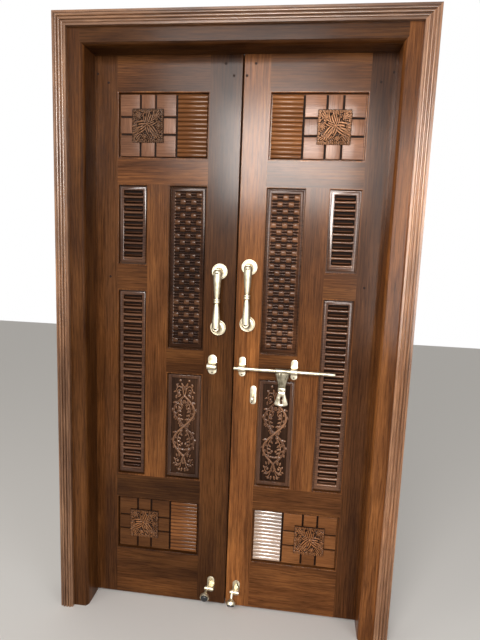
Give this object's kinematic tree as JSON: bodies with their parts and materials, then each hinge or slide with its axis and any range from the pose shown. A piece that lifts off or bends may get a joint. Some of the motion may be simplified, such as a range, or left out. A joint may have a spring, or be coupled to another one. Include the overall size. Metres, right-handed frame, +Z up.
{
  "type": "carved wooden double door",
  "caption": "Two-leaf carved teak entrance door in its rebated frame, with reeded architrave, louvred, woven and scroll panels, pull handles, sliding hasp bolt and stoppers.",
  "frame": {"origin": "on the floor, in the middle of the door's width and depth", "axes": "+X to the right as seen from the carved side, +Y into the doorway away from the viewer, +Z up"},
  "size_m": [1.216, 0.1644, 2.12],
  "materials": {
    "teak": "varnished",
    "panel_teak": "varnished",
    "carved_teak": "varnished",
    "brass": "polished, pale",
    "satin_brass": "satin",
    "rubber": "matt"
  },
  "bodies": {
    "frame": {"jamb_left": "teak", "jamb_right": "teak", "head": "teak", "architrave_left": "teak", "architrave_right": "teak", "architrave_top": "teak", "hinge_plates_frame": "brass", "hinge_pins": "brass"},
    "left_leaf": {"left_bottom_panel": "panel_teak", "left_bottom_rail": "teak", "left_bottom_rosette": "carved_teak", "left_hinge_plates": "brass", "left_hinge_stile": "teak", "left_inner_cross_rail": "teak", "left_long_louvre": "panel_teak", "left_lower_rail": "teak", "left_meeting_stile": "teak", "left_muntin": "teak", "left_outer_cross_rail": "teak", "left_pull_handle": "brass", "left_scroll_panel": "panel_teak", "left_short_louvre": "panel_teak", "left_stopper_plate": "brass", "left_top_panel": "panel_teak", "left_top_rail": "teak", "left_top_rosette": "carved_teak", "left_upper_rail": "teak", "left_weave_panel": "panel_teak", "bolt_catch": "brass"},
    "right_leaf": {"right_bottom_panel": "panel_teak", "right_bottom_rail": "teak", "right_bottom_rosette": "carved_teak", "right_hinge_plates": "brass", "right_hinge_stile": "teak", "right_inner_cross_rail": "teak", "right_long_louvre": "panel_teak", "right_lower_rail": "teak", "right_meeting_stile": "teak", "right_muntin": "teak", "right_outer_cross_rail": "teak", "right_pull_handle": "brass", "right_scroll_panel": "panel_teak", "right_short_louvre": "panel_teak", "right_stopper_plate": "brass", "right_top_panel": "panel_teak", "right_top_rail": "teak", "right_top_rosette": "carved_teak", "right_upper_rail": "teak", "right_weave_panel": "panel_teak", "bolt_guide_inner": "brass", "bolt_guide_outer": "brass", "lock_staple": "brass"},
    "bolt": {"bolt_rod": "brass"},
    "hasp": {"hasp": "satin_brass"},
    "left_stopper": {"left_stopper_leg": "brass", "left_stopper_rubber": "rubber"},
    "right_stopper": {"right_stopper_leg": "brass", "right_stopper_rubber": "rubber"}
  },
  "joints": [
    {"name": "left_leaf_swing", "type": "hinge", "parent": "frame", "child": "left_leaf", "pos_m": [-0.51875, 0.0762, 1.01875], "axis": [0, 0, 1], "range_deg": [0, 95]},
    {"name": "right_leaf_swing", "type": "hinge", "parent": "frame", "child": "right_leaf", "pos_m": [0.51875, 0.0762, 1.01875], "axis": [0, 0, -1], "range_deg": [0, 95]},
    {"name": "bolt_slide", "type": "slide", "parent": "right_leaf", "child": "bolt", "axis": [-1, 0, 0], "range_m": [0, 0.072]},
    {"name": "hasp_swing", "type": "hinge", "parent": "bolt", "child": "hasp", "pos_m": [0.19, 0.0118, 0.957], "axis": [-1, 0, 0], "range_deg": [0, 160]},
    {"name": "left_stopper_swing", "type": "hinge", "parent": "left_leaf", "child": "left_stopper", "pos_m": [-0.0606, 0.0108, 0.0804], "axis": [1, 0, 0], "range_deg": [-105, 70]},
    {"name": "right_stopper_swing", "type": "hinge", "parent": "right_leaf", "child": "right_stopper", "pos_m": [0.039, 0.0108, 0.0765], "axis": [1, 0, 0], "range_deg": [-140, 35]}
  ]
}
